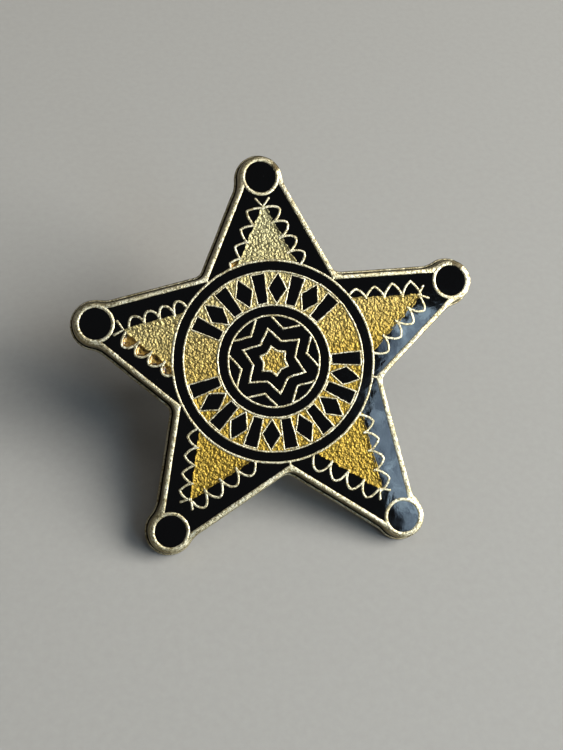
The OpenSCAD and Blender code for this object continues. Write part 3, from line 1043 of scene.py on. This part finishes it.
# Rows up the edge, from the back to the rim: how far out, how high, and how bright its colour is painted
# where it isn't worn, with painted shade as dark lines at the outer foot and at the step, and a lighter ledge
EDGE_ROWS = [
    (0.27, 0.0, DULL), (0.3, 0.015, 0.12), (0.31, 0.06, 0.12), (0.31, 0.3, 0.2), (0.3, 0.35, 0.45),
    (0.27, 0.385, 0.8), (0.2, 0.4, 0.8), (0.18, 0.39, 0.1), (0.1, 0.4, 0.1), (0.085, 0.72, 0.25),
    (0.05, 1.0, 0.38), (0.02, 1.17, 0.42), (0.0, 1.25, 0.55),
]
LEDGE_TOP = 0.4
RIM_SHARES = (0.05, 0.14, 0.28, 0.5, 0.72, 0.86, 0.95)
RIM_DOME = 0.035
BALL_FALL = 0.13
BALL_STEP = 0.055
BALL_SLOPE = 0.45
BALL_PAINTED_SHADE = 0.55
RING_DOME = 0.04
WALL_ROWS = (1.2, 1.1, POCKET_FLOOR)
WORN_LIT_SIDE = np.array([0.97, -0.25])
WORN_OUT = 0.08
WORN_IN = 0.12
BALL_SPARED = 0.5


def star_plate():
    """The plate with its domed rim and its stepped edge. One side is worn broader, and its colour is painted
    bright there as a highlight from the light on that side; the outer part of each ball's rim is painted
    darker as shade.
    """
    points, normals, widths, on_ball = star_outline()
    worn_and_lit = np.clip(normals @ WORN_LIT_SIDE, 0, 1)
    rings, relief = [], []
    narrower = 1 - (1 - BALL_SHARE) * on_ball
    spread = 1 - BALL_SPARED * on_ball
    for offset, z, bright in EDGE_ROWS:
        share = min(1, max(0, (z - LEDGE_TOP) / (THICKNESS - LEDGE_TOP)))
        shift = worn_and_lit * (WORN_OUT * share - WORN_IN * (1 - share)) * spread
        level = z - BALL_FALL * on_ball * share ** 3
        rings.append(at_height(points + normals * (offset * narrower + shift)[:, None], level))
        # The edge's colour: the rows' painted shade, and a painted highlight on the side that faces the
        # light.
        relief.append(bright + (1 - bright) * worn_and_lit * share)
    outer = worn_and_lit * WORN_OUT * spread
    for share in RIM_SHARES:
        inward = (widths + outer) * share - outer
        fall = BALL_STEP + (BALL_FALL - BALL_STEP) * max(0, 1 - share / BALL_SLOPE) ** 1.5
        sag = (1 - on_ball) * RIM_DOME * (2 * share - 1) ** 4 + on_ball * fall
        rings.append(at_height(points - normals * inward[:, None], THICKNESS - sag))
        # The outer part of each ball's rim is painted darker as shade, except on the side that faces the
        # light.
        relief.append(1 - BALL_PAINTED_SHADE * on_ball * (1 - share) ** 2 * (1 - worn_and_lit))
    for z in WALL_ROWS:
        rings.append(at_height(points - normals * widths[:, None], z))
        relief.append(np.ones(len(points)))
    faces = swept_faces(len(rings), len(points), False) + end_caps(len(rings), len(points))
    solid = (np.concatenate(rings), faces, np.concatenate(relief))
    return roughened(solid, amount=0.01, cell=0.45, seed=3, sink=0.01)


def post():
    """The pointed post in its bead of solder, which stands on the back."""
    tip = -POST_LEN
    profile = [
        (0.02, tip), (POINT_R, tip + 0.01), (POINT_R + 0.02, tip + 0.05),
        (POST_R - 0.04, tip + POINT_LEN - 0.06), (POST_R, tip + POINT_LEN), (POST_R, -SOLDER_H),
        (POST_R + 0.06, -SOLDER_H + 0.02), (0.85, -0.2), (1.2, -0.1), (SOLDER_R, -0.01),
        (SOLDER_R, 0.2), (0.02, 0.2),
    ]
    return lathe(profile)


def arm_lines(i):
    """The raised lines of one arm: its lobes and strokes, the ring of its ball, and the rib in its notch."""
    rib = ribbon(notch_rib(i), ridge(LINE_W))
    lines = [roughened(rib, amount=0.01, cell=0.3, seed=30 + i)]
    for side in SIDES:
        for k in range(LOBE_COUNT):
            arch = ribbon(lobe_arch(i, side, k), ridge(DRAWN_W))
            lines.append(roughened(arch, amount=0.018, cell=0.3, seed=40 + i, sink=0.012 + 0.003 * k))
    for outline in strokes(i):
        lines.append(roughened(mound(outline), amount=0.015, cell=0.3, seed=60 + i, sink=0.015))
    ring = moulding(circle(ball(i), (DISC_R + RING_R) / 2), ridge(RING_R - DISC_R, dome=RING_DOME))
    lines.append(roughened(ring, amount=0.01, cell=0.5, seed=70 + i, sink=0.01))
    return lines


# The radii of the medallion's round lines, and how much lower its finer lines are
ROUND_LINES = (
    (OUTER_RING_R, MEDAL_R), (BAND_R, OUTER_RING_IN), (INNER_RING_R, BAND_IN), (FIELD_R, INNER_RING_IN),
)
ITEM_LOWER = 0.015
STAR_LOWER = 0.004
CHEVRON_LOWER = 0.006
CHEVRON_OVER = 0.06


def medallion_lines():
    """The round lines of the medallion, the outlines in its band and the star in its middle."""
    lines = []
    for r_in, r_out in ROUND_LINES:
        line = moulding(circle(CENTRE, (r_in + r_out) / 2), ridge(r_out - r_in))
        lines.append(roughened(line, amount=0.014, cell=0.4, seed=80, sink=0.012))
    for item in all_items():
        line = moulding(grown(item, ITEM_LINE / 2), ridge(ITEM_LINE, THICKNESS - ITEM_LOWER))
        lines.append(roughened(line, amount=0.02, cell=0.25, seed=90, sink=0.025))
    for loop in (STAR, CORE):
        line = moulding(loop, ridge(LINE_W, THICKNESS - STAR_LOWER))
        lines.append(roughened(line, amount=0.02, cell=0.25, seed=100, sink=0.02))
    for k in range(HEX_POINTS):
        corner, first, second = chevron(k)
        reach = (FIELD_R + CHEVRON_OVER - CHEVRON_IN) / (np.linalg.norm(first) - CHEVRON_IN)
        path = np.array([corner + (first - corner) * reach, corner, corner + (second - corner) * reach])
        line = ribbon(path, ridge(LINE_W, THICKNESS - CHEVRON_LOWER))
        lines.append(roughened(line, amount=0.02, cell=0.25, seed=110, sink=0.02))
    return lines


def band_walls():
    """The walls of the grained band: its two round lines, and the lines of its bars and lozenges."""
    walls = [(circle(CENTRE, BAND_R), -1), (circle(CENTRE, BAND_IN), 1)]
    return walls + [(grown(item, ITEM_LINE), 1) for item in all_items()]


def arm_space(i):
    """The space between the rims of one arm."""
    inner = grown(star_points(), -RIM_W)
    first = 3 * i - 1
    corners = [inner[(first + k) % len(inner)] for k in range(4)]
    return np.array([CENTRE] + corners)


def arm_enamel(i):
    """The enamel of one arm, outside its ornament and in its full cells; thin cells come apart."""
    around = [(circle(CENTRE, MEDAL_R), 1), (grained_triangle(i), 1)]
    field = [(arm_space(i), -1), (circle(ball(i), RING_R), 1)] + around
    field += [(capsule(*notch_rib(k), LINE_W / 2, LINE_W / 2), 1) for k in (i - 1, i)]
    field += [(outline, 1) for outline in strokes(i)]
    full, thin = [], []
    for side in SIDES:
        for k in range(LOBE_COUNT):
            loop = lobe(i, side, k)
            field.append((grown(loop, LINE_W / 2), 1))
            cell = [(grown(loop, -LINE_W / 2), -1)] + around
            if is_thin(i, side, k):
                thin.append(enamel(cell, THIN_LEVEL, THIN_CLIMB, seed=31))
            else:
                full.append(enamel(cell))
    return [enamel(field)] + full, thin


def enamel_ring(r_in, r_out):
    """A flat ring of enamel with a slightly uneven surface."""
    half = (r_out - r_in) / 2
    rows = [(half + HIDDEN, ENAMEL_BOTTOM)]
    rows += [(half - d, ENAMEL_TOP - SWELL) for d in (-HIDDEN, *MENISCUS_ROWS, half)]
    rows += [(-offset, z) for offset, z in reversed(rows[:-1])]
    points, faces, relief = moulding(circle(CENTRE, (r_in + r_out) / 2), rows, step=RING_STEP)
    on_top = points[:, 2] > ENAMEL_BOTTOM
    points[:, 2] += RING_SWELL * smooth_noise(points, SWELL_LENGTH, 13) * on_top
    return points, faces, np.ones_like(relief)


def enamel_piece(name, solids, node):
    """A piece of black enamel."""
    piece(name, solids, BLACK, "black_enamel", node)


def middle_enamel():
    """The black enamel of the medallion's middle: round its star, inside it, and past the chevrons."""
    edge = (circle(CENTRE, FIELD_R), -1)
    chevrons = [chevron(k) for k in range(HEX_POINTS)]
    field = [edge, (grown(STAR, LINE_W / 2), 1)] + [(grown(loop, LINE_W / 2), 1) for loop in chevrons]
    enamel_piece("star_field", [enamel(field)], "enamel_star_field")
    inner = [(grown(STAR, -LINE_W / 2), -1), (grown(CORE, LINE_W / 2), 1)]
    enamel_piece("star_inner", [enamel(inner)], "enamel_star_inner")
    segments = [enamel([(grown(loop, -LINE_W / 2), -1), edge]) for loop in chevrons]
    enamel_piece("segments", segments, "enamel_segments")


RINGS = (("outer", OUTER_RING_IN, OUTER_RING_R), ("inner", INNER_RING_IN, INNER_RING_R))


def build_object():
    """Makes every piece of the pin."""
    lines, thin_cells, panels = [], [], []
    for i, arm in enumerate(ARMS):
        lines.append((f"lines_{arm.name}", arm_lines(i)))
        full, thin = arm_enamel(i)
        thin_cells += thin
        enamel_piece(f"enamel_{arm.name}", full, f"enamel_arm_{arm.name}")
        disc = enamel([(circle(ball(i), DISC_R), -1)], seed=50 + i)
        enamel_piece(f"disc_{arm.name}", [disc], f"enamel_disc_{arm.name}")
        panels.append((f"gold_{arm.name}", [gold_triangle(i)]))
    piece("thin_cells", thin_cells, THIN, "thin_enamel", "enamel_thin_cells")
    piece("star_plate", [star_plate(), post()], BRASS, "brass", "star_body")
    for name, solids in lines + [("lines_medallion", medallion_lines())]:
        piece(name, solids, BRASS, "brass", "star_body")
    panels.append(("gold_band", [gold_panel(band_walls(), 300)]))
    panels.append(("gold_core", [gold_panel([(grown(CORE, -LINE_W / 2), -1)], 310)]))
    for name, solids in panels:
        piece(name, solids, GOLD, "brass", "star_body")
    for name, r_in, r_out in RINGS:
        enamel_piece(f"ring_{name}", [enamel_ring(r_in, r_out)], f"enamel_ring_{name}")
    for name, count, middle in ITEM_ROWS:
        solids = [enamel([(item, -1)], seed=120 + k) for k, item in enumerate(band_items(count, middle))]
        enamel_piece(f"band_{name}", solids, f"enamel_band_{name}")
    middle_enamel()


# Camera, floor and light

IMAGE = (563, 750)
FOCAL_PX = 1050
SENSOR_MM = 36
FACE_NORMAL = Vector((0.133, 0.04, 0.99)).normalized()
CENTRE_PX = (274.1, 361.1)
PX_PER_MM = 16.0
NEAREST_M = 0.001
FARTHEST_M = 10


def place_camera():
    """Puts the camera where it sees the medallion's middle, on top of the metal, as the photo does."""
    across = (Vector((1, 0, 0)) - FACE_NORMAL.x * FACE_NORMAL).normalized()
    up = FACE_NORMAL.cross(across)
    to_star = Matrix((across, up, FACE_NORMAL))
    depth = FOCAL_PX / PX_PER_MM
    aside = (CENTRE_PX[0] - IMAGE[0] / 2) / FOCAL_PX
    above = (IMAGE[1] / 2 - CENTRE_PX[1]) / FOCAL_PX
    seen = Vector((aside, above, -1)) * depth
    stand = Vector((0, 0, THICKNESS)) - to_star @ seen
    data = bpy.data.cameras.new("camera")
    data.sensor_width = SENSOR_MM
    data.lens = FOCAL_PX * SENSOR_MM / max(IMAGE)
    data.clip_start = NEAREST_M
    data.clip_end = FARTHEST_M
    camera = linked("camera", data)
    turn = SEAT.to_3x3() @ to_star
    camera.matrix_world = Matrix.Translation((SEAT @ stand) * MM) @ turn.to_4x4()
    bpy.context.scene.camera = camera


def sheet(name, corners, face, material):
    """A flat sheet in the plane of its own x and y, in metres."""
    mesh = bpy.data.meshes.new(name)
    mesh.from_pydata([(x, y, 0) for x, y in corners], [], [face])
    mesh.materials.append(material)
    return linked(name, mesh)


FLOOR_HALF = 0.6
FLOOR_CORNERS = [(x * FLOOR_HALF, y * FLOOR_HALF) for x, y in ((-1, -1), (1, -1), (1, 1), (-1, 1))]


def place_floor():
    """A broad floor at height 0."""
    floor = sheet("floor", FLOOR_CORNERS, (0, 1, 2, 3), floor_card())


# Soft lights: name, direction, distance and size in metres, power in watts, and colour
LIGHTS = (
    ("key", (0.77, -0.24, 0.59), 0.60, 0.45, 6.9, (1.0, 0.98, 0.94)),
    ("top", (0.12, 0.05, 1.0), 0.45, 0.15, 0.12, (1.0, 0.98, 0.95)),
    ("left", (-0.75, 0.15, 0.55), 0.50, 0.25, 0.1, (0.96, 0.97, 1.0)),
)
SOFTBOX_AT = Vector((79.5, -36, 190))
SOFTBOX_CORNERS = (
    (-0.0048, -0.058), (0.0285, -0.058), (0.0285, 0.059), (-0.0295, 0.059), (-0.0295, 0.044), (-0.033, 0.033),
)
WORLD_STRENGTH = 0.09


def soft_light(name, direction, away, size, power, colour):
    """A square soft light that faces the pin."""
    data = bpy.data.lights.new(name, "AREA")
    data.size = size
    data.energy = power
    data.color = colour
    light = linked(name, data)
    place = Vector(direction).normalized() * away
    light.location = place
    light.rotation_euler = (-place).to_track_quat("-Z", "Y").to_euler()


def place_lights():
    """The soft lights, a cool softbox that the enamel mirrors, and the grey world."""
    for light in LIGHTS:
        soft_light(*light)
    softbox = sheet("softbox", SOFTBOX_CORNERS, (5, 4, 3, 2, 1, 0), softbox_glow())
    softbox.matrix_world = Matrix.Translation((SEAT @ SOFTBOX_AT) * MM) @ SEAT.to_3x3().to_4x4()
    world = bpy.data.worlds.new("world")
    world.use_nodes = True
    background = world.node_tree.nodes["Background"]
    background.inputs["Color"].default_value = WORLD_GREY
    background.inputs["Strength"].default_value = WORLD_STRENGTH
    bpy.context.scene.world = world
    bpy.context.scene.view_settings.view_transform = "Standard"


place_camera()
place_floor()
place_lights()
build_object()
